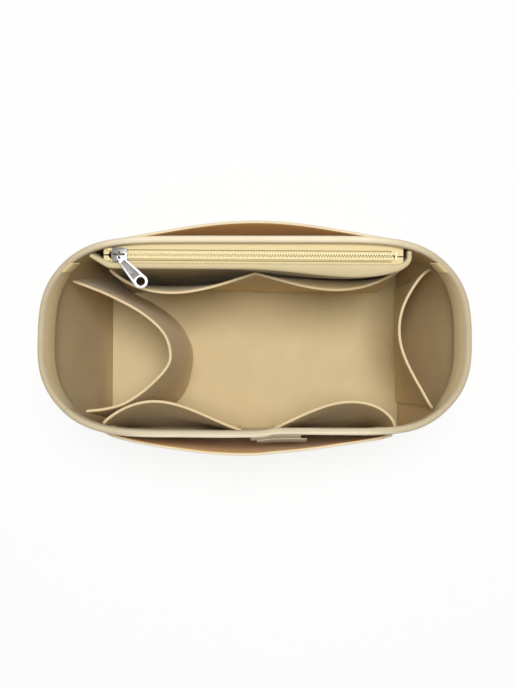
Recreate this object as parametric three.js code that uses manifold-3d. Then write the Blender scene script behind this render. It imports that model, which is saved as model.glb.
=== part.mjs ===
// A felt organizer insert for a purse: an open tray of felt with slip pockets inside and out,
// a zipped pocket along its back wall and a coil zip whose slider, link and pull tab move.
// Millimetres. +X is to the right, +Y to the zipped back wall, +Z up, with the origin under the
// middle of the floor.
import * as THREE from "three";
import { mergeVertices } from "three/addons/utils/BufferGeometryUtils.js";
import Module from "manifold-3d";

const wasm = await Module();
wasm.setup();

// Driving sizes of the felt body
const base_length = 254;
const rim_flare = 36;
const length = base_length + rim_flare;
const height = 170;
const base_width = 150;
const rim_draw = 15;
const rim_corner_draw = 49;
const rim_width = base_width - rim_draw;
const rim_corner_width = base_width - rim_corner_draw;
const felt = 2.2;
const pocket_felt = 2;
const seam = 0.3;
const mitre_gap = 0.25;

// How sharply the rim turns in at its corners
const long_wall_power = 7;
const end_wall_power = 3;

// Facings sewn inside the rim
const facing_depth = 16;

// Inner slip pockets and end pockets
const pocket_drop = 40;
const pocket_height = height - pocket_drop;
const front_pocket_bulge = 20.2;
const front_pocket_end_inset = 18;
const front_pocket_outer_end = base_length / 2 - front_pocket_end_inset;
const front_pocket_inner_end = 10;
const right_front_pocket_short = 9;
const back_pocket_left_bulge = 14;
const back_pocket_right_bulge = 7;
const right_pocket_bulge = 34;
const right_pocket_end = 50;
const left_pocket_reach = 76;

// Outer pockets
const outer_pocket_drop = 25;
const outer_pocket_height = height - outer_pocket_drop;
const outer_pocket_bulge = 11.5;
const outer_pocket_end_inset = 17;
const outer_pocket_end = base_length / 2 - outer_pocket_end_inset;

// Blank label inside the front outer pocket's mouth
const label_length = 34;
const label_width = 12;
const label_thickness = 0.5;
const label_left = -3;
const label_drop = 9;
const label_top = height - label_drop;
const label_lean = 3;

// Zipped pocket
const tape_drop = 7.5;
const tape_top = height - tape_drop;
const shoulder_depth = 4.2;
const shoulder_rise = 3;
const shoulder_top = tape_top + shoulder_rise;
const zip_panel_run_share = 0.78346;
const zip_panel_splay = 8;
const zip_panel_run_top = (base_length / 2) * zip_panel_run_share;
const zip_panel_run_foot = zip_panel_run_top + zip_panel_splay;
const zip_panel_return = 13;
const zip_panel_foot_inset = 26.5;
const zip_panel_foot_y = base_width / 2 - zip_panel_foot_inset;
const zip_panel_belly = 7;
const back_pocket_margin = 1.2;

// Zip
const zip_inset = 12.7;
const zip_y = rim_width / 2 - zip_inset;
const zip_slope_share = -0.006;
const tape = 0.7;
const tape_left_over = 3;
const tape_right_short = 2.9;
const tape_left = zip_panel_run_top + tape_left_over;
const tape_right = zip_panel_run_top - tape_right_short;
const tape_edge = 2.2;
const coil_width = 3;
const coil_reach = 0.35;
const coil_core = 1;
const coil_height = 2;
const coil_pitch = 1.8;
const coil_gap = 0.25;
const tape_left_tail = 4.9;
const tape_right_tail = 2.2;
const chain_left = tape_left - tape_left_tail;
const chain_right = tape_right - tape_right_tail;
const parting = 1.5;
const stop_length = 1.4;
const stop_width = 1.3;
const stop_proud = 0.4;

// Slider and pull
const slider_rest = 6.1;
const slider_x = slider_rest - chain_left;
const slider_length = 11;
const slider_shoulder = 9.5;
const slider_tail = 8;
const plate = 1;
const running_gap = 0.3;
const diamond_length = 4.4;
const diamond_width = 1.7;
const crown_length = 6.8;
const crown_wire = 1.1;
const crown_rise = 2.15;
const crown_bend = 0.9;
const link_wire = 1;
const link_reach = 2.6;
const link_offset = 0.4;
const tab_pitch = 21.4;
const tab_eye = 3.3;
const tab_neck = 2.4;
const tab_top_width = 5.3;
const tab_end_width = 9.5;
const tab_thickness = 1;
const tab_hole = 6;
const tab_rim = 0.9;
const tab_groove = 0.3;
const tab_heading_deg = -48;
const tab_tip_deg = 4;

const { lerp, clamp } = THREE.MathUtils;
const half_pi = Math.PI / 2;
const smooth = (share) => THREE.MathUtils.smoothstep(share, 0, 1);
const corner_half = (z) => lerp(base_width, rim_corner_width, z / height) / 2;

// A wall is a graph: how far out its outer face stands, at a place along it and a height.
const long_wall = {
  half: () => base_length / 2,
  across: corner_half,
  out(a, z) {
    const draw = (rim_width - rim_corner_width) / 2;
    const turn = Math.min(Math.abs(a) / (base_length / 2), 1) ** long_wall_power;
    return lerp(base_width / 2, rim_width / 2 - draw * turn, z / height);
  },
};
const end_wall = {
  half: corner_half,
  across: () => base_length / 2,
  out(a, z) {
    const turn = Math.min(Math.abs(a) / corner_half(z), 1) ** end_wall_power;
    return lerp(base_length, lerp(length, base_length, turn), z / height) / 2;
  },
};

// The face that lies a depth inside the outer face, measured square to it in plan.
function inside(wall, a, z, depth) {
  const step = felt / 100;
  const slope = (wall.out(a + step, z) - wall.out(a - step, z)) / (2 * step);
  return wall.out(a, z) - depth * Math.hypot(1, slope);
}

// How much shorter that face is than the outer one, so that two walls meet on a mitre.
function mitre(wall, z, depth) {
  let low = 0;
  let high = 2 * depth;
  for (let i = 0; i < 30; i++) {
    const cut = (low + high) / 2;
    const past = inside(wall, wall.half(z) - cut, z, depth) < wall.across(z) - cut;
    if (past) low = cut;
    else high = cut;
  }
  return low;
}

// Closes the space between two grids of points into one solid.
function closedSheet(front, back, columns, rows) {
  const points = [];
  const faces = [];
  const at = (side, i, j) => (side * (columns + 1) + i) * (rows + 1) + j;
  const quad = (a, b, c, d) => faces.push(a, b, c, a, c, d);
  for (const skin of [front, back])
    for (let i = 0; i <= columns; i++)
      for (let j = 0; j <= rows; j++) points.push(...skin(i / columns, j / rows).toArray());
  for (let i = 0; i < columns; i++)
    for (let j = 0; j < rows; j++) {
      quad(at(0, i, j), at(0, i + 1, j), at(0, i + 1, j + 1), at(0, i, j + 1));
      quad(at(1, i, j), at(1, i, j + 1), at(1, i + 1, j + 1), at(1, i + 1, j));
    }
  for (let i = 0; i < columns; i++) {
    quad(at(0, i, 0), at(1, i, 0), at(1, i + 1, 0), at(0, i + 1, 0));
    quad(at(0, i, rows), at(0, i + 1, rows), at(1, i + 1, rows), at(1, i, rows));
  }
  for (let j = 0; j < rows; j++) {
    quad(at(0, 0, j), at(0, 0, j + 1), at(1, 0, j + 1), at(1, 0, j));
    quad(at(0, columns, j), at(1, columns, j), at(1, columns, j + 1), at(0, columns, j + 1));
  }
  const geometry = new THREE.BufferGeometry();
  geometry.setAttribute("position", new THREE.Float32BufferAttribute(points, 3));
  geometry.setIndex(faces);
  return facingOut(geometry);
}

// Turns the faces of a closed mesh round if they point inwards.
function facingOut(geometry) {
  const index = geometry.index.array;
  const place = geometry.getAttribute("position");
  const corner = (k) => new THREE.Vector3().fromBufferAttribute(place, index[k]);
  let volume = 0;
  for (let k = 0; k < index.length; k += 3)
    volume += corner(k).dot(corner(k + 1).cross(corner(k + 2)));
  if (volume < 0)
    for (let k = 0; k < index.length; k += 3)
      [index[k], index[k + 1]] = [index[k + 1], index[k]];
  geometry.computeVertexNormals();
  return geometry;
}

// A sheet of even thickness about a middle surface.
function feltSheet(middle, thickness, columns, rows) {
  const step = 1 / 200;
  const along = (s, v, ds, dv) => {
    const ahead = middle(clamp(s + ds, 0, 1), clamp(v + dv, 0, 1));
    return ahead.sub(middle(clamp(s - ds, 0, 1), clamp(v - dv, 0, 1)));
  };
  const skin = (side) => (s, v) => {
    const across = along(s, v, step, 0).cross(along(s, v, 0, step)).normalize();
    return middle(s, v).addScaledVector(across, (side * thickness) / 2);
  };
  return closedSheet(skin(1), skin(-1), columns, rows);
}

// Stations along a wall from -1 to 1, closer together towards its corners.
const stationShare = (s) => Math.sin((2 * s - 1) * half_pi);

// A layer that follows a wall from corner to corner, between two depths and two heights.
function wallLayer(wall, place, outer_depth, inner_depth, low, top, columns) {
  const rows = 3;
  const skin = (depth) => (s, v) => {
    const z = lerp(low, top, v);
    const half = wall.half(z) - mitre_gap - (depth > 0 ? mitre(wall, z, depth) : 0);
    const a = stationShare(s) * half;
    return place(a, inside(wall, a, z, depth), z);
  };
  return closedSheet(skin(outer_depth), skin(inner_depth), columns, rows);
}
const onBack = (a, out, z) => new THREE.Vector3(a, out, z);
const onFront = (a, out, z) => new THREE.Vector3(a, -out, z);
const onRight = (a, out, z) => new THREE.Vector3(out, a, z);
const onLeft = (a, out, z) => new THREE.Vector3(-out, a, z);

// Colours of felt, tape, coil and metal
const felt_look = new THREE.MeshStandardMaterial({ color: "#d8c49c", roughness: 0.95 });
const pocket_look = new THREE.MeshStandardMaterial({ color: "#d2bd92", roughness: 0.95 });
const tape_look = new THREE.MeshStandardMaterial({ color: "#e0cc94", roughness: 0.8 });
const coil_look = new THREE.MeshStandardMaterial({ color: "#ead9a6", roughness: 0.45 });
const label_look = new THREE.MeshStandardMaterial({ color: "#d9c79f", roughness: 0.7 });
const metal_look = new THREE.MeshStandardMaterial({
  color: "#cfcfd2",
  roughness: 0.25,
  metalness: 1,
});

const organizer = new THREE.Group();
function add(name, geometry, look, parent = organizer) {
  const mesh = new THREE.Mesh(geometry, look);
  mesh.name = name;
  parent.add(mesh);
  return mesh;
}

// Floor, four walls and the facings inside their rim
const wall_columns = 22;
const end_columns = 20;
const second_layer = felt + seam;
const inner_depth = second_layer + felt;
const zip_facing_depth = height - tape_top - seam;

function floorPanel() {
  const inset = 2 * (felt + 2 * seam);
  const panel = new THREE.BoxGeometry(base_length - inset, base_width - inset, felt);
  return panel.translate(0, 0, felt / 2);
}
add("base_panel", floorPanel(), felt_look);

const walls = [
  ["back", long_wall, onBack, wall_columns, zip_facing_depth],
  ["front", long_wall, onFront, wall_columns, facing_depth],
  ["left", end_wall, onLeft, end_columns, facing_depth],
  ["right", end_wall, onRight, end_columns, facing_depth],
];
for (const [side, wall, place, columns, depth] of walls) {
  const is_end = wall === end_wall;
  const panel = wallLayer(wall, place, 0, felt, 0, height, columns);
  add(is_end ? `${side}_end_wall` : `${side}_wall`, panel, felt_look);
  const low = height - depth;
  const strip = wallLayer(wall, place, second_layer, inner_depth, low, height, columns);
  add(`${side}_facing`, strip, felt_look);
}

// Pockets lie on a wall at their seams and stand off it in between, more with height.
const pocket_foot = felt + seam;
const lean_in = (share, peak_share, power) =>
  Math.sin(Math.PI * clamp(share, 0, 1) ** (Math.log(0.5) / Math.log(peak_share))) ** power;

function wallPocket(spec) {
  const { wall, place, from, to, depth, bulge, peak_share, power, low, top } = spec;
  return feltSheet(
    (s, v) => {
      const z = lerp(low, top, v);
      const a = lerp(from, to, s);
      const stand = bulge * lean_in(s, peak_share, power) * v;
      return place(a, inside(wall, a, z, depth) - stand, z);
    },
    pocket_felt,
    spec.columns,
    spec.rows,
  );
}

const lying_depth = felt + seam + pocket_felt / 2;
const front_pockets = [
  ["front_slip_pocket_left", -front_pocket_outer_end, -front_pocket_inner_end, 0.37],
  [
    "front_slip_pocket_right",
    front_pocket_outer_end - right_front_pocket_short,
    front_pocket_inner_end + felt,
    0.31,
  ],
];
for (const [name, from, to, peak_share] of front_pockets) {
  const shape = {
    wall: long_wall,
    place: onFront,
    from,
    to,
    depth: lying_depth + seam,
    bulge: front_pocket_bulge,
    peak_share,
    power: 1.3,
    low: pocket_foot,
    top: pocket_height,
    columns: 18,
    rows: 5,
  };
  add(name, wallPocket(shape), pocket_look);
}
const right_pocket = wallPocket({
  wall: end_wall,
  place: onRight,
  from: right_pocket_end,
  to: -right_pocket_end,
  depth: lying_depth + seam,
  bulge: right_pocket_bulge,
  peak_share: 0.45,
  power: 0.85,
  low: pocket_foot,
  top: pocket_height,
  columns: 18,
  rows: 5,
});
add("right_end_pocket", right_pocket, pocket_look);

// Outer pockets lie outside the long walls.
for (const [name, place, end_power] of [
  ["back_outer_pocket", onBack, 2.2],
  ["front_outer_pocket", onFront, 1.5],
]) {
  const sheet = feltSheet(
    (s, v) => {
      const z = lerp(seam, outer_pocket_height, v);
      const share = 2 * s - 1;
      const a = share * outer_pocket_end;
      const stand = outer_pocket_bulge * (1 - share ** 2) ** end_power * v ** 1.5;
      return place(a, inside(long_wall, a, z, -seam - pocket_felt / 2) + stand, z);
    },
    pocket_felt,
    22,
    5,
  );
  add(name, sheet, pocket_look);
}

// The deep left end pocket: a band that stands on the floor and bows out into the tray.
// Shares of its reach from the end wall, and of the corner's half width.
const band_lip_shares = [
  [0.035, 0.76],
  [0.19, 0.67],
  [0.39, 0.555],
  [0.73, 0.32],
  [0.94, 0.06],
  [1.0, -0.15],
  [0.985, -0.32],
  [0.775, -0.59],
  [0.475, -0.81],
  [0.27, -0.885],
  [0.06, -0.92],
];
const band_foot_shares = [
  [0.03, 0.8],
  [0.22, 0.6],
  [0.47, 0.46],
  [0.72, 0.265],
  [0.875, 0.01],
  [0.9, -0.145],
  [0.88, -0.31],
  [0.81, -0.545],
  [0.66, -0.71],
  [0.39, -0.825],
  [0.03, -0.88],
];
function bandCurve(shares, z) {
  const points = shares.map(([reach_share, side_share]) => {
    const y = side_share * corner_half(z);
    const wall_x = inside(end_wall, y, z, lying_depth + seam);
    return new THREE.Vector3(reach_share * left_pocket_reach - wall_x, y, z);
  });
  return new THREE.CatmullRomCurve3(points, false, "centripetal");
}
function leftBand() {
  const lip = bandCurve(band_lip_shares, pocket_height);
  const foot = bandCurve(band_foot_shares, pocket_foot);
  const middle = (s, v) => foot.getPointAt(s).lerp(lip.getPointAt(s), v);
  return feltSheet(middle, pocket_felt, 24, 4);
}
add("left_end_pocket", leftBand(), pocket_look);

// The zipped pocket's front: a panel with a return to the back wall at each end. Its top edge
// is turned into a shoulder that covers the zip tape's margin.
const zipLine = (x) => zip_y + zip_slope_share * x;
const shoulder_back = (x) => zipLine(x) - slider_shoulder / 2 - running_gap - seam / 2;
const panel_run = (z) => lerp(zip_panel_run_foot, zip_panel_run_top, z / shoulder_top);
const under_shoulder = tape_top + seam;

// The front face of the panel's main run.
function panelFront(x, z) {
  const top_y = shoulder_back(x) - shoulder_depth;
  const side_share = x > 0 ? lean_in(x / zip_panel_run_top, 0.45, 1) : 0;
  const belly = zip_panel_belly * side_share * Math.sin(Math.PI * (z / shoulder_top) ** 4);
  const low_y = zip_panel_foot_y - belly;
  const turn_low = shoulder_top - facing_depth;
  return lerp(low_y, top_y, smooth((z - turn_low) / (facing_depth - shoulder_depth)));
}

// Plan of the panel at one height: the two returns and the run, as a path of its front face.
function panelPath(z, offset, edge_depth) {
  const run = panel_run(z);
  const corners = [];
  const wall_x = run + zip_panel_return;
  const wall_y = inside(long_wall, wall_x, z, edge_depth);
  const steps = 12;
  corners.push([-wall_x + offset, wall_y]);
  for (let k = 0; k <= steps; k++) {
    const share = stationShare(k / steps);
    const x = share * run;
    const swell = x / run;
    corners.push([x - swell * offset * 0.6, panelFront(x, z) + offset]);
  }
  const right_x = run + zip_panel_return / 2;
  corners.push([right_x - offset, lerp(panelFront(run, z), wall_y, 0.4) + offset * 0.3]);
  corners.push([right_x - offset, inside(long_wall, right_x, z, edge_depth)]);
  return corners;
}
function zipPanel() {
  const turn_low = shoulder_top - facing_depth;
  const body_levels = [0, 0.3, 0.6, 0.85, 1].map((share) => lerp(pocket_foot, turn_low, share));
  const rebate = under_shoulder - seam / 3;
  const levels = [...body_levels, lerp(turn_low, rebate, 0.5), rebate, under_shoulder, shoulder_top];
  const skin = (thickness_at) => (s, v) => {
    const row = Math.round(v * (levels.length - 1));
    const z = levels[row];
    const depth = (z < under_shoulder ? felt : inner_depth) + 2 * seam;
    const path = panelPath(z, thickness_at(z), depth);
    const [x, y] = path[Math.round(s * (path.length - 1))];
    return new THREE.Vector3(x, y, z);
  };
  const columns = panelPath(0, 0, felt).length - 1;
  const folded = (z) => (z < under_shoulder ? felt : shoulder_depth);
  return closedSheet(skin(() => 0), skin(folded), columns, levels.length - 1);
}
add("zip_pocket_panel", zipPanel(), pocket_look);

// One panel makes both back slip pockets: it lies on the zip panel at its ends and middle.
function backSlipPocket() {
  return feltSheet(
    (s, v) => {
      const z = lerp(pocket_foot, pocket_height, v);
      const x = lerp(-1, 1, s) * (panel_run(z) - back_pocket_margin);
      const left = back_pocket_left_bulge * lean_in(2 * s, 0.4, 1);
      const right = back_pocket_right_bulge * lean_in(2 * s - 1, 0.5, 1);
      const stand = (s < 0.5 ? left : right) * v;
      const y = panelFront(x, z) - 2 * seam - pocket_felt / 2 - stand;
      return new THREE.Vector3(x, y, z);
    },
    pocket_felt,
    32,
    5,
  );
}
add("back_slip_pocket", backSlipPocket(), pocket_look);

// The blank label hangs from the front wall into the outer pocket's mouth.
function labelPatch() {
  const low = label_top - label_width;
  return feltSheet(
    (s, v) => {
      const z = lerp(low, label_top, v);
      const x = lerp(label_left, label_left + label_length, s);
      const y = inside(long_wall, x, z, -seam - label_thickness / 2) + label_lean * (1 - v);
      return new THREE.Vector3(x, -y, z);
    },
    label_thickness,
    4,
    1,
  );
}
add("label_patch", labelPatch(), label_look);

// The zip: two tapes, the two halves of the coil chain, and the stops at their ends.
// How far each half stands off the closed line: nothing on the joined side of the slider, and
// wide enough at its nose to go round the diamond.
function partAt(x) {
  const joined_x = slider_x + slider_length * 0.44;
  const open_x = slider_x - slider_length * 0.45;
  return parting * smooth((joined_x - x) / (joined_x - open_x));
}
function upright(outline, low, depth, steps = 4) {
  const shape = outline instanceof THREE.Shape ? outline : new THREE.Shape(outline);
  const settings = { depth, bevelEnabled: false, curveSegments: steps };
  return new THREE.ExtrudeGeometry(shape, settings).translate(0, 0, low);
}
const plan = (x, y) => new THREE.Vector2(x, y);

function zipTape(side) {
  const stations = 26;
  const inner = [];
  const outer = [];
  for (let k = 0; k <= stations; k++) {
    const share = (1 - Math.cos(Math.PI * k / stations)) / 2;
    const x = lerp(-tape_left, tape_right, share);
    inner.push(plan(x, zipLine(x) + side * (tape_edge + partAt(x))));
    const back_y = inside(long_wall, x, tape_top, felt + 2 * seam);
    const trimmed_x = Math.max(x, shoulder_depth - tape_left);
    const front_y = shoulder_back(x) - shoulder_depth + felt + seam;
    outer.unshift(side > 0 ? plan(x, back_y) : plan(trimmed_x, front_y));
  }
  return upright([...inner, ...outer], tape_top - tape, tape);
}
add("zip_tape_back", zipTape(1), tape_look);
add("zip_tape_front", zipTape(-1), tape_look);

// Half of the chain: the coil's loops reach past the closed line, between those of the other half.
function coilHalf(side) {
  const tooth = coil_pitch / 2 - coil_gap;
  const count = Math.floor((chain_left + chain_right) / coil_pitch - 0.5);
  const start = -chain_left + (side < 0 ? coil_pitch / 2 : 0);
  const spine = [];
  const teeth = [];
  for (let k = 0; k < count; k++) {
    const x = start + k * coil_pitch;
    const part = partAt(x);
    const root = zipLine(x) + side * (coil_width - coil_core + part);
    const tip = zipLine(x) - side * (coil_reach - part);
    teeth.push(plan(x, root), plan(x, tip), plan(x + tooth, tip), plan(x + tooth, root));
  }
  const end = start + (count - 1) * coil_pitch + tooth;
  const spine_steps = 24;
  for (let k = 0; k <= spine_steps; k++) {
    const x = lerp(end, start, (k / spine_steps) ** 0.5);
    spine.push(plan(x, zipLine(x) + side * (coil_width + partAt(x))));
  }
  return upright([...teeth, ...spine], tape_top, coil_height);
}
add("zip_coil_back", coilHalf(1), coil_look);
add("zip_coil_front", coilHalf(-1), coil_look);

function stopBlock(x, y, width) {
  const block_height = coil_height + stop_proud;
  const block = new THREE.BoxGeometry(stop_length, width, block_height);
  return block.translate(x, y, tape_top + block_height / 2);
}
const top_stop_x = -chain_left - seam - stop_length / 2;
const top_stop_y = tape_edge + parting - coil_reach;
const stop_line = zipLine(top_stop_x);
add("zip_top_stop_back", stopBlock(top_stop_x, stop_line + top_stop_y, stop_width), metal_look);
add("zip_top_stop_front", stopBlock(top_stop_x, stop_line - top_stop_y, stop_width), metal_look);
const bottom_stop_x = chain_right + seam + stop_length / 2;
const bottom_stop = stopBlock(bottom_stop_x, zipLine(bottom_stop_x), 2 * coil_width);
add("zip_bottom_stop", bottom_stop, metal_look);

// Joins and cuts closed meshes.
function solid(geometry) {
  const bare = geometry.clone();
  for (const name of ["normal", "uv"]) bare.deleteAttribute(name);
  const merged = mergeVertices(bare, felt / 1000);
  const vertProperties = new Float32Array(merged.getAttribute("position").array);
  const triVerts = new Uint32Array(merged.index.array);
  return new wasm.Manifold(new wasm.Mesh({ numProp: 3, vertProperties, triVerts }));
}
function fromSolid(shape) {
  const { vertProperties, triVerts } = shape.getMesh();
  const geometry = new THREE.BufferGeometry();
  geometry.setAttribute("position", new THREE.BufferAttribute(vertProperties, 3));
  geometry.setIndex(new THREE.BufferAttribute(triVerts, 1));
  geometry.computeVertexNormals();
  return geometry;
}

// The slider, in its own frame: its middle on the zip line, z from the face of the tape.
const slider = new THREE.Group();
slider.position.set(slider_x, zipLine(slider_x), tape_top);
organizer.add(slider);
const ceiling = coil_height + running_gap;
const plate_top = ceiling + plate;
const plate_low = -tape - running_gap - plate;

function sliderOutline() {
  const nose = -slider_length / 2;
  const tail = slider_length / 2;
  const shoulder = slider_shoulder / 2;
  const tail_half = slider_tail / 2;
  const shape = new THREE.Shape();
  shape.moveTo(nose, 0);
  shape.quadraticCurveTo(nose, shoulder, nose * 0.5, shoulder);
  shape.lineTo(0, shoulder);
  shape.lineTo(tail - plate, tail_half);
  shape.quadraticCurveTo(tail, tail_half, tail, tail_half - plate);
  shape.lineTo(tail, plate - tail_half);
  shape.quadraticCurveTo(tail, -tail_half, tail - plate, -tail_half);
  shape.lineTo(0, -shoulder);
  shape.lineTo(nose * 0.5, -shoulder);
  shape.quadraticCurveTo(nose, -shoulder, nose, 0);
  return shape;
}
// The channel that the two coil halves run through, from the tail to the nose.
function sliderChannel() {
  const near = [];
  const far = [];
  const steps = 8;
  for (let k = 0; k <= steps; k++) {
    const x = lerp(-slider_length, slider_length, k / steps);
    const half = coil_width + running_gap + partAt(slider_x + x);
    near.push(plan(x, -half));
    far.unshift(plan(x, half));
  }
  return [...near, ...far];
}
function sliderDiamond() {
  const back = -slider_length * 0.42;
  const half = diamond_width / 2;
  const waist = back + diamond_length * 0.3;
  const tip = back + diamond_length;
  return [plan(back, -half), plan(waist, -half), plan(tip, -half / 4), plan(tip, half / 4),
    plan(waist, half), plan(back, half)];
}
function sliderBody() {
  const outline = sliderOutline();
  const lower = solid(upright(outline, plate_low, plate));
  const upper = solid(upright(outline, ceiling, plate));
  const channel_cut = solid(upright(sliderChannel(), -tape, coil_height + 2 * tape));
  const flange_block = solid(upright(outline, running_gap, coil_height + plate / 2));
  const flanges = flange_block.subtract(channel_cut);
  const diamond = solid(upright(sliderDiamond(), plate_low + plate / 2, ceiling - plate_low));
  return fromSolid(lower.add(upper).add(flanges).add(diamond));
}
add("slider_body", sliderBody(), metal_look, slider);

// The crown: a wire loop whose two feet stand on the upper plate.
const bar_z = plate_top + crown_rise;
function crownPath() {
  const reach = crown_length / 2;
  const corner = (x, z) => new THREE.Vector3(x, 0, z);
  const path = new THREE.CurvePath();
  const rise = corner(-reach, bar_z - crown_bend);
  const over = corner(crown_bend - reach, bar_z);
  const away = corner(reach - crown_bend, bar_z);
  const fall = corner(reach, bar_z - crown_bend);
  path.add(new THREE.LineCurve3(corner(-reach, plate_top), rise));
  path.add(new THREE.QuadraticBezierCurve3(rise, corner(-reach, bar_z), over));
  path.add(new THREE.LineCurve3(over, away));
  path.add(new THREE.QuadraticBezierCurve3(away, corner(reach, bar_z), fall));
  path.add(new THREE.LineCurve3(fall, corner(reach, plate_top)));
  return path;
}
function crown() {
  const section = new THREE.Shape().absarc(0, 0, crown_wire / 2, 0, 2 * Math.PI);
  const settings = { steps: 28, extrudePath: crownPath(), curveSegments: 8 };
  return new THREE.ExtrudeGeometry(section, settings);
}
add("slider_crown", crown(), metal_look, slider);

// The link: a wire ring on edge round the crown's bar, which turns about that bar.
const link = new THREE.Group();
link.position.set(link_offset, 0, bar_z);
slider.add(link);
const link_turn = crown_wire / 2 + running_gap + link_wire / 2;
function linkRing() {
  const points = [];
  const faces = [];
  const half_steps = 9;
  const sides = 8;
  const steps = 2 * half_steps;
  for (let k = 0; k < steps; k++) {
    const far = k >= half_steps;
    const angle = ((k - (far ? half_steps : 0)) / (half_steps - 1)) * Math.PI + (far ? Math.PI : 0);
    const outward = new THREE.Vector3(0, Math.sin(angle), Math.cos(angle));
    const centre = outward.clone().multiplyScalar(link_turn);
    if (far) centre.y -= link_reach - link_turn;
    for (let m = 0; m < sides; m++) {
      const round = (2 * Math.PI * m) / sides;
      const point = centre.clone().addScaledVector(outward, (Math.cos(round) * link_wire) / 2);
      point.x += (Math.sin(round) * link_wire) / 2;
      points.push(...point.toArray());
      const next_k = (k + 1) % steps;
      const next_m = (m + 1) % sides;
      const corners = [k * sides + m, next_k * sides + m, next_k * sides + next_m, k * sides + next_m];
      faces.push(corners[0], corners[1], corners[2], corners[0], corners[2], corners[3]);
    }
  }
  const geometry = new THREE.BufferGeometry();
  geometry.setAttribute("position", new THREE.Float32BufferAttribute(points, 3));
  geometry.setIndex(faces);
  return facingOut(geometry);
}
add("pull_link", linkRing(), metal_look, link);

// The pull tab: a tapered bar with an eye for the link, a round hole and a sunk face.
const tab = new THREE.Group();
const degrees = Math.PI / 180;
tab.position.set(0, -link_reach, 0);
tab.rotation.set(0, tab_tip_deg * degrees, tab_heading_deg * degrees, "ZYX");
link.add(tab);

function roundHole(x, radius) {
  const hole = new THREE.Path();
  hole.absarc(x, 0, radius, 0, 2 * Math.PI, true);
  return hole;
}
function tabOutline() {
  const eye = tab_eye / 2;
  const half = tab_top_width / 2;
  const end = tab_end_width / 2;
  const shape = new THREE.Shape();
  shape.absarc(0, 0, eye, half_pi, 3 * half_pi);
  shape.lineTo(tab_neck - eye / 2, -eye);
  shape.lineTo(tab_neck, -half);
  shape.lineTo(tab_pitch, -end);
  shape.absarc(tab_pitch, 0, end, -half_pi, half_pi);
  shape.lineTo(tab_neck, half);
  shape.lineTo(tab_neck - eye / 2, eye);
  return shape;
}
function pullTab() {
  const outline = tabOutline();
  outline.holes.push(roundHole(0, link_wire / 2 + running_gap));
  outline.holes.push(roundHole(tab_pitch, tab_hole / 2));
  const plate_solid = solid(upright(outline, -tab_thickness / 2, tab_thickness, 10));
  const near = tab_neck + tab_rim;
  const far = tab_pitch - tab_hole / 2 - tab_rim;
  const near_half = tab_top_width / 2 - tab_rim;
  const far_half = tab_end_width / 2 - 2 * tab_rim;
  const sunk = [plan(near, -near_half), plan(far, -far_half), plan(far, far_half),
    plan(near, near_half)];
  const cut = solid(upright(sunk, tab_thickness / 2 - tab_groove, tab_thickness));
  return fromSolid(plate_solid.subtract(cut));
}
add("pull_tab", pullTab(), metal_look, tab);

export default organizer;
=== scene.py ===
"""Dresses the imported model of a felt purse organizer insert: sewn felt, coil zip and metal pull."""

import functools
import math
from collections import namedtuple

import bpy
from bpy.props import FloatProperty, FloatVectorProperty, PointerProperty
from bpy.types import Operator, Panel, PropertyGroup
from mathutils import Color, Matrix, Vector, noise


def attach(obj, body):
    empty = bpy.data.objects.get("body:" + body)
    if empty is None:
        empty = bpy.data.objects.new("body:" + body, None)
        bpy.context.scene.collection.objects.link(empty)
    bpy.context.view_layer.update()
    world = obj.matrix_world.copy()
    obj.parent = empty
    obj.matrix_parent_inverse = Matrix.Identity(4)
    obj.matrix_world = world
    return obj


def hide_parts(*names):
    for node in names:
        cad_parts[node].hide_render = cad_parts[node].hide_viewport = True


bl_info = {
    "name": "Felt Organizer Insert",
    "version": (1, 0, 0),
    "blender": (4, 5, 0),
    "location": "View3D > Sidebar > Insert",
    "description": "Builds the sewn felt, the zip and the pull of an organizer insert",
    "category": "Object",
}

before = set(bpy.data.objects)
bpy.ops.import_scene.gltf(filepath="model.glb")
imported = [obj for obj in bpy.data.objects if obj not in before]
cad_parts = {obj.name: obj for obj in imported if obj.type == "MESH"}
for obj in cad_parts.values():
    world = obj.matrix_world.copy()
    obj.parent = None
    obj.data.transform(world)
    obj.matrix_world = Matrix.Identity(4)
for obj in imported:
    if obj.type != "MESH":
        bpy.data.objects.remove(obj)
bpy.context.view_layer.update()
MM = 0.001


def size(description, millimetres):
    """A length that a user may change."""
    return FloatProperty(description=description, default=millimetres * MM, unit="LENGTH", precision=5)


def colour(description, value):
    """A colour that a user may change, as it is seen on screen."""
    return FloatVectorProperty(description=description, default=value, subtype="COLOR_GAMMA", size=3,
                               min=0, max=1)


def named(group):
    """Names each property of a group after its attribute."""
    for key, made in group.__annotations__.items():
        made.keywords["name"] = key.replace("_", " ").capitalize()
    return group


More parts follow.
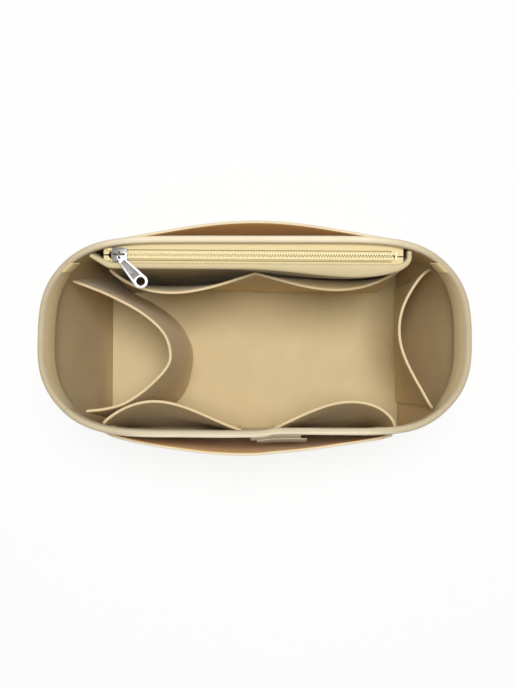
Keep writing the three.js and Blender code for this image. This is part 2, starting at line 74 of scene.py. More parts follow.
@named
class InsertBodySizes(PropertyGroup):
    """Sizes of the felt walls and their pockets"""
    length: size("Length over the rim", 290)
    height: size("Height of the walls", 170)
    base_length: size("Length of the floor", 254)
    base_width: size("Width of the floor", 150)
    rim_width: size("Width over the rim at its middle", 135)
    rim_corner_width: size("Width of the rim where it turns in", 101)
    felt: size("Thickness of the walls' felt", 2.2)
    pocket_felt: size("Thickness of the pockets' felt", 2)
    seam: size("Gap between two layers of felt", 0.3)
    corner_gap: size("Gap at the walls' corner seams", 0.06)
    facing_depth: size("How far the fold reaches down inside", 16)
    corner_fold: size("Thickness of the facing's folded end", 0.8)
    corner_fold_length: size("How far that end reaches", 6.5)
    facing_stand_off: size("From the end walls to the hems", 2.2)
    front_rim_step: size("How far it steps in at the label", 1.8)
    # The felt pales over this height below the rim as a painted highlight on the fold.
    rim_fade: size("Height over which the felt pales", 5)
    pocket_height: size("Height of the inner lips", 130)
    front_pocket_bulge: size("How far they gape", 20.2)
    front_pocket_outer_end: size("From the middle to the outer seam", 109)
    front_pocket_inner_end: size("From the middle to the inner seam", 10)
    front_pocket_foot_inset: size("Slant of the inner seams", 16)
    right_front_pocket_short: size("Its outer seam short of the left one's", 9)
    back_pocket_left_bulge: size("How far its left half gapes", 14)
    back_pocket_right_bulge: size("How far its right half gapes", 7)
    back_pocket_corner_rise: size("How far its sewn corners reach up", 22)
    back_pocket_margin: size("From the corners to its seams", 1.2)
    right_pocket_bulge: size("How far it gapes", 34)
    right_pocket_end: size("Half its width", 50)
    left_pocket_reach: size("How far it stands out", 76)
    outer_pocket_height: size("Height of the outer lips", 145)
    outer_pocket_bulge: size("How far they gape", 11.5)
    outer_pocket_end: size("From the middle to the seams", 110)
    outer_pocket_right_short: size("Its front one's right seam short of it", 12)
    outer_corner_drop: size("How far their corners round off", 14)
    label_length: size("Length of the blank label", 34)
    label_width: size("Height of the blank label", 12)
    label_thickness: size("Thickness of the blank label", 0.5)
    label_left: size("Left end of the label from the middle", -3)
    label_top: size("Height of the label's upper edge", 161)
    label_lean: size("How far the label's lower edge stands off", 2.2)
    zip_panel_run_top: size("Half the run at its top", 99.5)
    zip_panel_run_foot: size("Half the run at its foot", 107.5)
    zip_panel_return: size("Length of the left return in plan", 13)
    zip_panel_foot_y: size("Place of the panel's foot across", 48.5)
    zip_panel_recess: size("How far it draws back on the left", 2.2)
    zip_panel_belly: size("How far it bellies out on the right", 6)
    zip_panel_drop_start: size("From its top down to where it starts to drop", 12)
    zip_panel_drop: size("Height over which it drops", 10)
    shoulder_depth: size("Depth of the turned shoulder", 4.2)
    shoulder_top: size("Height of the turned shoulder", 165.5)


@named
class InsertZipSizes(PropertyGroup):
    """Sizes of the zip, its slider and its pull"""
    line: size("Place of the zip across", 54.8)
    tape_top: size("Height of the tape's upper face", 162.5)
    tape: size("Thickness of the tape", 0.7)
    tape_left: size("From the middle to the tape's left end", 102.5)
    tape_right: size("From the middle to the tape's right end", 100.6)
    tape_edge: size("From the zip line to its inner edge", 2.2)
    coil_width: size("From the zip line to the loops' backs", 3)
    coil_reach: size("How far the loops pass the zip line", 0.35)
    coil_height: size("Height of the coil over the tape", 2)
    coil_pitch: size("Length of one loop along the zip", 1.8)
    coil_wire: size("Thickness of the coil's wire", 0.84)
    chain_left: size("From the middle to the chain's left end", 97.6)
    chain_right: size("From the middle to the chain's right end", 94.4)
    parting: size("How far each half stands off", 1.5)
    slider_x: size("Place of the slider along the zip", -91.5)
    slider_length: size("Length of the slider's body", 11)
    slider_shoulder: size("Width of the slider's body", 9.5)
    running_gap: size("Play between the slider and the coil", 0.3)
    metal_edge: size("Rounding of the metal's edges", 0.22)
    coil_thread: size("Thickness of the coil's seam", 0.6)
    coil_cord: size("Thickness of the cord inside each coil", 1.4)
    thread: size("Thickness of the sewing thread", 0.5)
    stitch_spacing: size("Length from one stitch to the next", 3.2)
    stitch_inset: size("From a seam's edge to its stitches", 2.6)


@named
class InsertColours(PropertyGroup):
    """Colours of the felt, the zip and the metal"""
    felt: colour("Walls' felt", (0.87, 0.775, 0.57))
    floor_felt: colour("Insert's floor", (0.872, 0.802, 0.637))
    pocket_felt: colour("Pockets' felt", (0.87, 0.775, 0.55))
    outer_pocket_felt: colour("Outer pockets", (0.875, 0.775, 0.565))
    # A warm, saturated painted bounce light for the shade inside the outer pockets.
    pocket_lining: colour("Outer pockets' inner face", (0.94, 0.74, 0.40))
    zip_panel_felt: colour("Zipped pocket's panel", (0.82, 0.757, 0.60))
    # The rims' folds: a paler painted highlight on the long rims, painted shade on the front rim's
    # inner side and on the end rims.
    long_rim: colour("Fold of the long rims", (0.93, 0.88, 0.77))
    inner_rim: colour("Inner side of the front rim's fold", (0.82, 0.77, 0.66))
    end_rim: colour("Fold of the end rims", (0.76, 0.70, 0.58))
    # Cut edges are painted paler as a highlight where the lips catch the light.
    cut_felt: colour("Felt's cut edges", (0.895, 0.815, 0.665))
    # The outer pockets' cut edges are painted paler still as a highlight.
    outer_lip: colour("Outer pockets' cut edges", (0.90, 0.85, 0.74))
    tape: colour("Zip's tape", (0.93, 0.86, 0.66))
    coil: colour("Zip's coil", (0.97, 0.91, 0.72))
    # Real thread, painted dark as the shade in the groove beside the coil.
    coil_thread: colour("Thread beside the coil", (0.62, 0.53, 0.33))
    thread: colour("Sewing thread", (0.86, 0.78, 0.60))
    # The label is darkened with painted shade from the rim above it.
    label: colour("Blank label", (0.66, 0.62, 0.48))
    metal: colour("Plated pull tab", (0.54, 0.535, 0.53))
    # The slider is painted darker than the pull tab as shade on its plating.
    slider_metal: colour("Plated slider", (0.42, 0.41, 0.40))
    # The groove is satin, and its darker tone is painted shade.
    groove: colour("Pull tab's satin groove", (0.40, 0.39, 0.385))
    floor: colour("Floor that the insert stands on", (0.95, 0.95, 0.95))


def body_sizes():
    return bpy.context.scene.insert_body_sizes


def zip_sizes():
    return bpy.context.scene.insert_zip_sizes


def colours():
    return bpy.context.scene.insert_colours


# The walls' plan and how far it leans
LONG_WALL_POWER = 7
END_WALL_POWER = 3
ZIP_SLOPE_SHARE = -0.006


def lerp(low, high, share):
    return low + (high - low) * share


def clamp(share):
    return max(0.0, min(1.0, share))


def smooth(share):
    share = clamp(share)
    return share * share * (3 - 2 * share)


def corner_half(z):
    k = body_sizes()
    return lerp(k.base_width, k.rim_corner_width, z / k.height) / 2


def long_wall_half(z):
    return body_sizes().base_length / 2


def long_wall_out(along, z):
    """How far out a long wall's outer face stands."""
    k = body_sizes()
    draw = (k.rim_width - k.rim_corner_width) / 2
    turn = min(abs(along) / (k.base_length / 2), 1) ** LONG_WALL_POWER
    return lerp(k.base_width / 2, k.rim_width / 2 - draw * turn, z / k.height)


def end_wall_out(along, z):
    """How far out an end wall's outer face stands."""
    k = body_sizes()
    turn = min(abs(along) / corner_half(z), 1) ** END_WALL_POWER
    return lerp(k.base_length, lerp(k.length, k.base_length, turn), z / k.height) / 2


Wall = namedtuple("Wall", "name out half across place")
BACK = Wall("back", long_wall_out, long_wall_half, corner_half, lambda a, o, z: Vector((a, o, z)))
FRONT = Wall("front", long_wall_out, long_wall_half, corner_half, lambda a, o, z: Vector((a, -o, z)))
RIGHT = Wall("right", end_wall_out, corner_half, long_wall_half, lambda a, o, z: Vector((o, a, z)))
LEFT = Wall("left", end_wall_out, corner_half, long_wall_half, lambda a, o, z: Vector((-o, a, z)))


def inside(wall, along, z, depth):
    """The face that lies a depth inside the outer one, measured square to it in plan."""
    step = body_sizes().felt / 100
    slope = (wall.out(along + step, z) - wall.out(along - step, z)) / (2 * step)
    return wall.out(along, z) - depth * math.hypot(1, slope)


MITRE_DIGITS = 7
MITRE_HALVINGS = 26


def mitre(wall, z, depth):
    """How much shorter a deep face is than the outer one, so that two walls meet on a mitre."""
    return found_mitre(wall, round(z, MITRE_DIGITS), round(depth, MITRE_DIGITS))


@functools.lru_cache(maxsize=None)
def found_mitre(wall, z, depth):
    low, high = 0.0, 2 * depth
    for _ in range(MITRE_HALVINGS):
        cut = (low + high) / 2
        if inside(wall, wall.half(z) - cut, z, depth) < wall.across(z) - cut:
            low = cut
        else:
            high = cut
    return low


def station_share(share):
    """Stations from -1 to 1, closer together towards the corners."""
    return math.sin((2 * share - 1) * math.pi / 2)


def lean_in(share, peak_share, power):
    """A smooth rise from 0 to 1 and back, with its peak where it is asked for."""
    bent = clamp(share) ** (math.log(0.5) / math.log(peak_share))
    return max(math.sin(math.pi * bent), 0) ** power


def deselect_all():
    for piece in bpy.context.selected_objects:
        piece.select_set(False)


def only(piece):
    """Makes a piece the only one selected and the active one."""
    deselect_all()
    piece.select_set(True)
    bpy.context.view_layer.objects.active = piece
    return piece


def add_modifier(piece, kind, **settings):
    """Adds a modifier and applies it."""
    only(piece)
    modifier = piece.modifiers.new(kind.title(), kind)
    for key, value in settings.items():
        setattr(modifier, key, value)
    bpy.ops.object.modifier_apply(modifier=modifier.name)


def shade(piece, degrees):
    only(piece)
    bpy.ops.object.shade_smooth_by_angle(angle=math.radians(degrees))


# Degrees past which an edge is rounded, and past which its shading breaks
FELT_ANGLES = (55, 60)
METAL_ANGLES = (35, 50)


def soften(piece, width, angles):
    """Rounds a piece's edges and shades its faces smooth."""
    add_modifier(piece, "BEVEL", width=width, segments=3, limit_method="ANGLE",
                 angle_limit=math.radians(angles[0]), use_clamp_overlap=True)
    shade(piece, angles[1])


def finish_piece(piece, name, finish, slot, *nodes, body="felt_body"):
    """Names a piece, gives it its finish, and hangs it on its body in place of CAD nodes."""
    piece.name = name
    piece.data.name = name
    if not piece.data.materials:
        piece.data.materials.append(None)
    piece.data.materials[0] = finish_of(finish)
    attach(piece, body)
    if nodes:
        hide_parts(*nodes)
    return piece


def finish_pocket(pocket, node, finish="pocket felt"):
    finish_piece(pocket, "felt_" + node, finish, "pocket_felt", node)


FELT_EDGE_SHARE = 0.3
WOVEN_EDGE_SHARE = 0.25
LABEL_EDGE_SHARE = 0.2

# Columns and rows of the grids that the sheets start from
FLOOR_GRID = (60, 36)
FOLD_GRID = (18, 12)
SLIP_GRID = (64, 28)
OUTER_GRID = (72, 26)
BAND_GRID = (84, 26)
BACK_SLIP_GRID = (96, 28)
LABEL_GRID = (24, 10)
TAPE_GRID = (120, 8)
CORD_GRID = (160, 4)
WALL_COLUMNS = 96
PANEL_COLUMNS = 120


def felt_sheet(place, grid, thickness, edge_share=FELT_EDGE_SHARE):
    """A sheet of felt about the face place(share along, share up), with soft cut edges, painted paler
    as a highlight.
    """
    deselect_all()
    bpy.ops.mesh.primitive_grid_add(x_subdivisions=grid[0], y_subdivisions=grid[1], size=2)
    sheet = bpy.context.object
    for vertex in sheet.data.vertices:
        vertex.co = sway(place((vertex.co.x + 1) / 2, (vertex.co.y + 1) / 2))
    # The cut edges get a paler painted highlight.
    for finish in (None, finish_of("cut felt")):
        sheet.data.materials.append(finish)
    add_modifier(sheet, "SOLIDIFY", thickness=thickness, offset=0, use_quality_normals=True,
                 material_offset_rim=1)
    soften(sheet, thickness * edge_share, FELT_ANGLES)
    return sheet


# The felt's slow unevenness, the same for all layers at one place so that they stay clear
SWAY_SHARE = 0.5
SWAY_WAVES = 19
RIM_POWER = 8
STEP_END_SHARE = 0.45
SWAY_SHIFT = Vector((7, 0, 0))


def step_share(x):
    """How much the front rim steps in at a place along it: right of the middle."""
    k = body_sizes()
    low, high = k.label_left + k.label_width / 2, k.base_length * STEP_END_SHARE
    return smooth((x - low) / k.label_width) * (1 - smooth((x - high) / k.label_length + 1))


def sway(point):
    """Moves a point of the felt a little, less near the zip, the floor and the outer corners."""
    k = body_sizes()
    calm = smooth((k.base_width / 4 - point.y) / (k.base_width / 4)) * smooth(4 * point.z / k.height)
    reach = k.felt * SWAY_SHARE * calm
    front = smooth(-2 * point.y / k.base_width) * clamp(point.z / k.height) ** RIM_POWER
    step_in = k.front_rim_step * front * step_share(point.x)
    return point + Vector((noise.noise(point * SWAY_WAVES + SWAY_SHIFT) * reach,
                           noise.noise(point * SWAY_WAVES) * reach + step_in, 0))


# Walls: each is one strip of felt that folds over at the rim and down inside as a facing
FOLD_ROWS = {"wall": (30, 10, 12), "panel": (30, 8, 2)}
ROLLED_ROWS = 18
CURL_POWER = 4


def folded_profile(low, top, outer_depth, inner_depth, hem_low, steps):
    """Heights and depths up one face, round a fold and down inside again."""
    straight_steps, fold_steps, hem_steps = steps
    radius = (inner_depth - outer_depth) / 2
    centre = top - radius
    stations = [(lerp(low, centre, i / straight_steps), outer_depth) for i in range(straight_steps)]
    for i in range(fold_steps + 1):
        angle = math.pi * i / fold_steps
        depth = outer_depth + radius * (1 - math.cos(angle))
        stations.append((centre + radius * math.sin(angle), depth))
    for i in range(1, hem_steps + 1):
        stations.append((lerp(centre, hem_low, i / hem_steps), inner_depth))
    return stations


def rolled_depth(z):
    """How deep an end wall's facing lies: it rolls over softly from the fold to its hem."""
    k = body_sizes()
    hem_share = clamp((z - k.height + k.facing_depth) / (k.facing_depth - k.felt / 2))
    fold_depth = k.felt + k.seam / 2
    hem_depth = k.felt + k.felt / 2 + k.seam + k.facing_stand_off
    return lerp(fold_depth, hem_depth, math.sqrt(1 - hem_share ** 2))


def wall_sheet(wall):
    """A wall with its folded rim and its facing."""
    k = body_sizes()
    hem_low = k.height - k.facing_depth
    if wall is BACK:
        hem_low = zip_sizes().tape_top + k.seam
    inner_depth = k.felt + k.seam + k.felt / 2
    stations = folded_profile(0, k.height - k.felt / 2, k.felt / 2, inner_depth, hem_low,
                              FOLD_ROWS["wall"])
    rows = len(stations) - 1
    first_inside = len(stations) - ROLLED_ROWS

    def place(share, up):
        row = round(up * rows)
        z, depth = stations[row]
        half = wall.half(z) - k.corner_gap - mitre(wall, z, depth)
        along = station_share(share) * half
        if wall in (LEFT, RIGHT) and row > first_inside:
            depth = lerp(depth, rolled_depth(z), 1 - (2 * share - 1) ** CURL_POWER)
        return wall.place(along, inside(wall, along, z, depth), z)

    return felt_sheet(place, (WALL_COLUMNS, rows), k.felt)


FOLD_DROP_SHARE = 0.6
RAGGED_WAVES = 3
RAGGED_SEED = 9


def corner_fold(wall):
    """The pale end of the back facing, turned over the end facing at a back corner."""
    k = body_sizes()
    high, low = k.height - k.felt / 2, k.height - k.facing_depth * FOLD_DROP_SHARE

    def place(share, up):
        ragged = noise.noise(Vector((share * RAGGED_WAVES, wall.out(0, 0) * RAGGED_SEED, 0))) * k.felt
        z = lerp(low + ragged * (1 - up), high, up)
        half = wall.half(z) - mitre(wall, z, k.felt)
        along = half - lerp(k.corner_fold_length, k.seam, share)
        depth = rolled_depth(z) + k.felt / 2 + k.seam + k.corner_fold / 2
        return wall.place(along, inside(wall, along, z, depth), z + k.corner_fold * up)

    return felt_sheet(place, FOLD_GRID, k.corner_fold)


def floor_panel():
    """The felt floor, flat inside the walls."""
    k = body_sizes()
    inset = k.felt + k.corner_gap

    def place(share, up):
        x = lerp(-1, 1, share) * (k.base_length / 2 - inset)
        y = lerp(-1, 1, up) * (k.base_width / 2 - inset)
        return Vector((x, y, k.felt / 2))

    return felt_sheet(place, FLOOR_GRID, k.felt)


# Pockets: a lip's curve is the share along it where it stands off its wall most, and a power
FRONT_LIP_CURVES = {"left": (0.37, 1.2), "right": (0.35, 0.95)}
RIGHT_END_LIP_CURVE = (0.45, 0.85)
OUTER_LIP_POWERS = {"back": 2.2, "front": 1.5}
OUTER_FLARE_POWER = 1.5
ROUND_FROM_SHARE = 0.88


def wall_pocket(wall, start, end, bulge, lip_curve, foot_inset=0):
    """A slip pocket inside, which lies on a wall at its seams and stands off it in between."""
    k = body_sizes()
    depth = k.felt + 2 * k.seam + k.pocket_felt / 2
    inset = math.copysign(foot_inset, start - end)

    def place(share, up):
        z = lerp(k.felt + k.seam, k.pocket_height, up)
        along = lerp(start, end + inset * (1 - up), share)
        stand = bulge * lean_in(share, *lip_curve) * up
        return wall.place(along, inside(wall, along, z, depth) - stand, z)

    return felt_sheet(place, SLIP_GRID, k.pocket_felt)


def outer_pocket(wall, right_short):
    """A slip pocket on the outside, whose lip stands off the wall."""
    k = body_sizes()

    def place(share, up):
        across_share = lerp(-1, 1, share)
        corner = smooth((abs(across_share) - ROUND_FROM_SHARE) / (1 - ROUND_FROM_SHARE))
        z = lerp(k.seam, k.outer_pocket_height - k.outer_corner_drop * corner, up)
        along = lerp(-k.outer_pocket_end, k.outer_pocket_end - right_short, share)
        lip = max(1 - across_share ** 2, 0) ** OUTER_LIP_POWERS[wall.name]
        stand = k.outer_pocket_bulge * lip * up ** OUTER_FLARE_POWER
        return wall.place(along, inside(wall, along, z, -k.seam - k.pocket_felt / 2) + stand, z)

    pocket = felt_sheet(place, OUTER_GRID, k.pocket_felt)
    # Its cut edges get a paler painted highlight.
    pocket.data.materials[1] = finish_of("outer lip felt")
    # Faces that look towards the wall, inside the pocket, get a warm painted bounce light in its shade.
    pocket.data.materials.append(finish_of("pocket lining felt"))
    way_out = wall.place(0, 1, 0)
    for face in pocket.data.polygons:
        if face.material_index == 0 and face.normal.dot(way_out) < 0:
            face.material_index = 2
    return pocket


# The deep left pocket: shares of its reach from the end wall and of the corner's half width
BAND_LIP_SHARES = (
    (0.005, 0.735), (0.18, 0.66), (0.39, 0.555), (0.73, 0.32), (0.94, 0.06), (1.0, -0.15),
    (0.985, -0.32), (0.775, -0.59), (0.475, -0.81), (0.27, -0.885), (0.06, -0.92),
)
BAND_FOOT_SHARES = (
    (0.03, 0.8), (0.22, 0.6), (0.47, 0.46), (0.72, 0.265), (0.875, 0.01), (0.9, -0.145),
    (0.88, -0.31), (0.81, -0.545), (0.66, -0.71), (0.39, -0.825), (0.03, -0.88),
)
KNOT_STEPS = 12
KNOT_POWER = 0.5
TINY = 1e-12


def curve_through(points, steps):
    """A smooth curve through points, sampled at even lengths."""
    knots = [points[0] * 2 - points[1], *points, points[-1] * 2 - points[-2]]
    dense = []
    for four in zip(knots, knots[1:], knots[2:], knots[3:]):
        dense += [centripetal(*four, i / KNOT_STEPS) for i in range(KNOT_STEPS)]
    return even_steps([*dense, points[-1]], steps)


def centripetal(a, b, c, d, share):
    """One place on the curve from b to c."""
    t0, t1, t2, t3 = reaches((a, b, c, d), KNOT_POWER)
    t = lerp(t1, t2, share)
    first = a.lerp(b, (t - t0) / (t1 - t0))
    second = b.lerp(c, (t - t1) / (t2 - t1))
    third = c.lerp(d, (t - t2) / (t3 - t2))
    early = first.lerp(second, (t - t0) / (t2 - t0))
    late = second.lerp(third, (t - t1) / (t3 - t1))
    return early.lerp(late, (t - t1) / (t2 - t1))


def reaches(path, power=1):
    """How far along a path each of its points lies, with each step's length to a power."""
    reach = [0.0]
    for near, far in zip(path, path[1:]):
        reach.append(reach[-1] + (far - near).length ** power)
    return reach


def even_steps(points, steps):
    """The points at even lengths along a path."""
    reach = reaches(points)
    even = []
    i = 0
    for k in range(steps + 1):
        target = reach[-1] * k / steps
        while i < len(points) - 2 and reach[i + 1] < target:
            i += 1
        span = max(reach[i + 1] - reach[i], TINY)
        even.append(points[i].lerp(points[i + 1], clamp((target - reach[i]) / span)))
    return even


def left_band():
    """The band of felt that stands on the floor and bows out into the tray."""
    k = body_sizes()
    depth = k.felt + 2 * k.seam + k.pocket_felt / 2

    def curve(shares, z):
        points = []
        for reach_share, side_share in shares:
            y = side_share * corner_half(z)
            points.append(Vector((reach_share * k.left_pocket_reach - inside(LEFT, y, z, depth), y, z)))
        return curve_through(points, BAND_GRID[0])

    lip = curve(BAND_LIP_SHARES, k.pocket_height)
    foot = curve(BAND_FOOT_SHARES, k.felt + k.seam)

    def place(share, up):
        i = round(share * BAND_GRID[0])
        return foot[i].lerp(lip[i], up)

    return felt_sheet(place, BAND_GRID, k.pocket_felt)


# The zipped pocket's panel, with a return at each end and a turned shoulder over the tape
def zip_line(x):
    return zip_sizes().line + ZIP_SLOPE_SHARE * x


def shoulder_back(x):
    k, z = body_sizes(), zip_sizes()
    return zip_line(x) - z.slider_shoulder / 2 - z.running_gap - k.seam / 2


def panel_run(z):
    k = body_sizes()
    return lerp(k.zip_panel_run_foot, k.zip_panel_run_top, z / k.shoulder_top)


SWELL_CURVE = (0.68, 0.8)
SWELL_TOP_SHARE = 0.85
SWELL_DROP_SHARE = 0.5
RECESS_CURVE = (0.5, 0.4)
BOW_POWER = 4
TURN_SHARE = 0.6
SLANT_SHARE = 0.6
PANEL_RUNS = 14
RETURN_BEND_SHARE = 0.4
CUT_SHARES = (0.25, 0.75)


def swell_share(x):
    """How much the zipped pocket swells out at a place along it: only on the right."""
    return lean_in(max(x, 0) / body_sizes().zip_panel_run_top, *SWELL_CURVE)


def recess_share(x):
    """How much the panel draws back behind its shoulder: only on the left."""
    return lean_in(max(-x, 0) / body_sizes().zip_panel_run_top, *RECESS_CURVE)


def panel_front(x, z):
    """The front face of the panel's main run."""
    k = body_sizes()
    swell = k.zip_panel_belly * swell_share(x)
    bow = math.sin(math.pi * min((z / k.shoulder_top) ** BOW_POWER, 0.5))
    low_y = k.zip_panel_foot_y - swell * bow + k.zip_panel_recess * recess_share(x)
    top_y = shoulder_back(x) - k.shoulder_depth - swell * SWELL_TOP_SHARE
    turn_low = k.shoulder_top - k.facing_depth * TURN_SHARE
    return lerp(low_y, top_y, smooth((z - turn_low) / (k.shoulder_top - k.shoulder_depth - turn_low)))


def rounded(points, rounds=3):
    """Cuts the corners of a path again and again, with its ends kept."""
    for _ in range(rounds):
        cut = [points[0]]
        for near, far in zip(points, points[1:]):
            cut += [near.lerp(far, share) for share in CUT_SHARES]
        points = cut + [points[-1]]
    return points


def panel_plan(z, depth):
    """Plan of the panel's middle face at one height, a depth behind its front."""
    k = body_sizes()
    run = panel_run(z)
    layers = k.felt if z < zip_sizes().tape_top + k.seam else 2 * k.felt + k.seam
    wall_x = run + k.zip_panel_return
    ends = layers + 2 * k.seam
    fold_share = clamp((depth - k.felt / 2) / (k.shoulder_depth - k.felt))
    slim = lerp(k.felt / 2, k.felt, fold_share)
    path = [Vector((-wall_x + slim, inside(BACK, wall_x, z, ends), z))]
    for i in range(PANEL_RUNS + 1):
        x = station_share(i / PANEL_RUNS) * run
        swell = k.zip_panel_belly * swell_share(x) * SWELL_TOP_SHARE
        y = panel_front(x, z) + depth + swell * fold_share
        near_top = smooth((z - k.shoulder_top + k.zip_panel_drop_start) / k.zip_panel_drop)
        drop = swell * SWELL_DROP_SHARE * (1 - fold_share) * near_top
        path.append(Vector((x * (1 - depth * SLANT_SHARE / run), y, z - drop)))
    right_x = run + k.zip_panel_return / 2
    wall_y = inside(BACK, right_x, z, ends)
    bend_y = lerp(panel_front(run, z), wall_y, RETURN_BEND_SHARE) + depth * SLANT_SHARE / 2
    path.append(Vector((right_x - slim, bend_y, z)))
    path.append(Vector((right_x - slim, wall_y, z)))
    return even_steps(rounded(path), PANEL_COLUMNS)


def zip_panel():
    """The front of the zipped pocket, with its shoulder folded over the tape."""
    k = body_sizes()
    under = zip_sizes().tape_top + k.seam + k.felt / 4
    stations = folded_profile(k.felt + k.seam, k.shoulder_top - k.felt / 2, k.felt / 2,
                              k.shoulder_depth - k.felt / 2, under, FOLD_ROWS["panel"])
    plans = [panel_plan(z, depth) for z, depth in stations]
    rows = len(stations) - 1
    return felt_sheet(lambda s, v: plans[round(v * rows)][round(s * PANEL_COLUMNS)],
                      (PANEL_COLUMNS, rows), k.felt)


BACK_LIP_CURVES = {"left": (0.4, 1), "right": (0.5, 1)}
LEFT_FLARE_POWER = 1.6
RIGHT_FLARE_SHARE = 0.78
CORNER_FROM_SHARE = 0.86


def back_slip_pocket():
    """One panel makes both back slip pockets: it lies on the zip panel at its ends and middle."""
    k = body_sizes()

    def place(share, up):
        across_share = lerp(-1, 1, share)
        corner = clamp((abs(across_share) - CORNER_FROM_SHARE) / (1 - CORNER_FROM_SHARE)) ** 2
        z = lerp(k.felt + k.seam, k.pocket_height + k.back_pocket_corner_rise * corner, up)
        x = across_share * (panel_run(z) - k.back_pocket_margin * (1 - corner))
        if share < 0.5:
            bulge = k.back_pocket_left_bulge * lean_in(2 * share, *BACK_LIP_CURVES["left"])
            stand = (bulge + k.zip_panel_recess * recess_share(x)) * up ** LEFT_FLARE_POWER
        else:
            bulge = k.back_pocket_right_bulge * lean_in(2 * share - 1, *BACK_LIP_CURVES["right"])
            stand = bulge * smooth(up - RIGHT_FLARE_SHARE) / smooth(1 - RIGHT_FLARE_SHARE)
        return Vector((x, panel_front(x, z) - 2 * k.seam - k.pocket_felt / 2 - stand, z))

    return felt_sheet(place, BACK_SLIP_GRID, k.pocket_felt)


PLY_DROP_SHARE = 0.8


def label_patch(ply):
    """One ply of a blank woven label that hangs folded in the outer pocket's mouth."""
    k = body_sizes()
    top = k.label_top - ply * k.label_width * PLY_DROP_SHARE
    left = k.label_left + ply * k.label_lean * 2

    def place(share, up):
        z = lerp(top - k.label_width, top, up)
        x = lerp(left, left + k.label_length, share)
        lean = k.label_lean * (1 - up + ply)
        return Vector((x, -inside(FRONT, x, z, -k.seam - k.label_thickness / 2) - lean, z))

    return felt_sheet(place, LABEL_GRID, k.label_thickness, LABEL_EDGE_SHARE)


# The zip
NOSE_SHARE = 0.44
TAIL_SHARE = 0.45


def part_at(x):
    """How far each half of the zip stands off its line: only at the slider's nose."""
    z = zip_sizes()
    joined_x = z.slider_x + z.slider_length * NOSE_SHARE
    open_x = z.slider_x - z.slider_length * TAIL_SHARE
    return z.parting * smooth((joined_x - x) / (joined_x - open_x))


def beside(x, side, off):
    """A place across, a little off the line of one half of the zip."""
    return zip_line(x) + side * (part_at(x) + off)


def chain_x(share):
    """A place along the closed chain."""
    z = zip_sizes()
    return lerp(-z.chain_left, z.chain_right - z.coil_pitch, share)


def zip_tape(side):
    """One tape, from its woven inner edge to the felt that it is sewn under."""
    k, z = body_sizes(), zip_sizes()

    def place(share, up):
        x = lerp(-z.tape_left, z.tape_right, share)
        past = max(-x - z.chain_left, x - z.chain_right + z.coil_pitch)
        tail_share = smooth(past / z.coil_pitch)
        near = zip_line(x) + side * lerp(z.tape_edge + part_at(x), z.tape / 2, tail_share)
        if side > 0:
            far = inside(BACK, x, z.tape_top, k.felt + 2 * k.seam)
        else:
            far = shoulder_back(x) - k.shoulder_depth + k.felt + k.seam
        return Vector((x, lerp(near, far, up), z.tape_top - z.tape / 2))

    return felt_sheet(place, TAPE_GRID, z.tape, WOVEN_EDGE_SHARE)


def thread_tube(points, radius):
    """A tube of even thickness along points, as a mesh."""
    curve = bpy.data.curves.new("tube", "CURVE")
    curve.dimensions = "3D"
    curve.bevel_depth = radius
    curve.bevel_resolution = 1
    curve.use_fill_caps = True
    spline = curve.splines.new("POLY")
    spline.points.add(len(points) - 1)
    for knot, point in zip(spline.points, points):
        knot.co = (*point, 1)
    tube = bpy.data.objects.new("tube", curve)
    bpy.context.collection.objects.link(tube)
    only(tube)
    bpy.ops.object.convert(target="MESH")
    tube = bpy.context.object
    bpy.ops.object.shade_smooth()
    return tube


TURN_STEPS = 12


def zip_coil(side):
    """Half of the chain: one wire wound in loops that reach between those of the other half."""
    z = zip_sizes()
    count = math.floor((z.chain_left + z.chain_right) / z.coil_pitch - 0.5)
    start = -z.chain_left + (z.coil_pitch / 2 if side < 0 else 0)
    middle = (z.coil_width - z.coil_reach) / 2
    half = (z.coil_width + z.coil_reach - z.coil_wire) / 2
    rise = (z.coil_height - z.coil_wire) / 2
    points = []
    for i in range(count * TURN_STEPS + 1):
        angle = 2 * math.pi * i / TURN_STEPS
        x = start + z.coil_pitch * i / TURN_STEPS
        y = beside(x, side, middle + half * math.cos(angle))
        points.append(Vector((x, y, z.tape_top + z.coil_height / 2 + rise * math.sin(angle))))
    return thread_tube(points, z.coil_wire / 2)


def coil_cord(side):
    """The flat cord that the coil is wound on, which fills its loops."""
    z = zip_sizes()

    def place(share, up):
        x = chain_x(share)
        y = beside(x, side, lerp(z.coil_wire, z.coil_width - z.coil_wire / 2, up))
        return Vector((x, y, z.tape_top + z.coil_height / 2))

    return felt_sheet(place, CORD_GRID, z.coil_cord)


def coil_seam(side):
    """The run of thread that holds the coil's outer edge down on its tape, painted dark as the shade in
    the groove there.
    """
    z = zip_sizes()
    points = []
    for i in range(TAPE_GRID[0] + 1):
        x = chain_x(i / TAPE_GRID[0])
        points.append(Vector((x, beside(x, side, z.coil_width + z.coil_thread), z.tape_top)))
    return thread_tube(points, z.coil_thread / 2)


MELD_SHARE = 0.02


def refined(node):
    """A copy of a plain metal node, with its edges rounded."""
    width = zip_sizes().metal_edge
    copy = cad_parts[node].copy()
    copy.data = copy.data.copy()
    copy.parent = None
    bpy.context.collection.objects.link(copy)
    copy.matrix_world = Matrix.Identity(4)
    only(copy)
    copy.data.materials.clear()
    bpy.ops.object.mode_set(mode="EDIT")
    bpy.ops.mesh.select_all(action="SELECT")
    bpy.ops.mesh.remove_doubles(threshold=width * MELD_SHARE)
    bpy.ops.mesh.dissolve_limited(angle_limit=math.radians(1))
    bpy.ops.object.mode_set(mode="OBJECT")
    soften(copy, width, METAL_ANGLES)
    return copy


FLAT_SHARE = 0.99


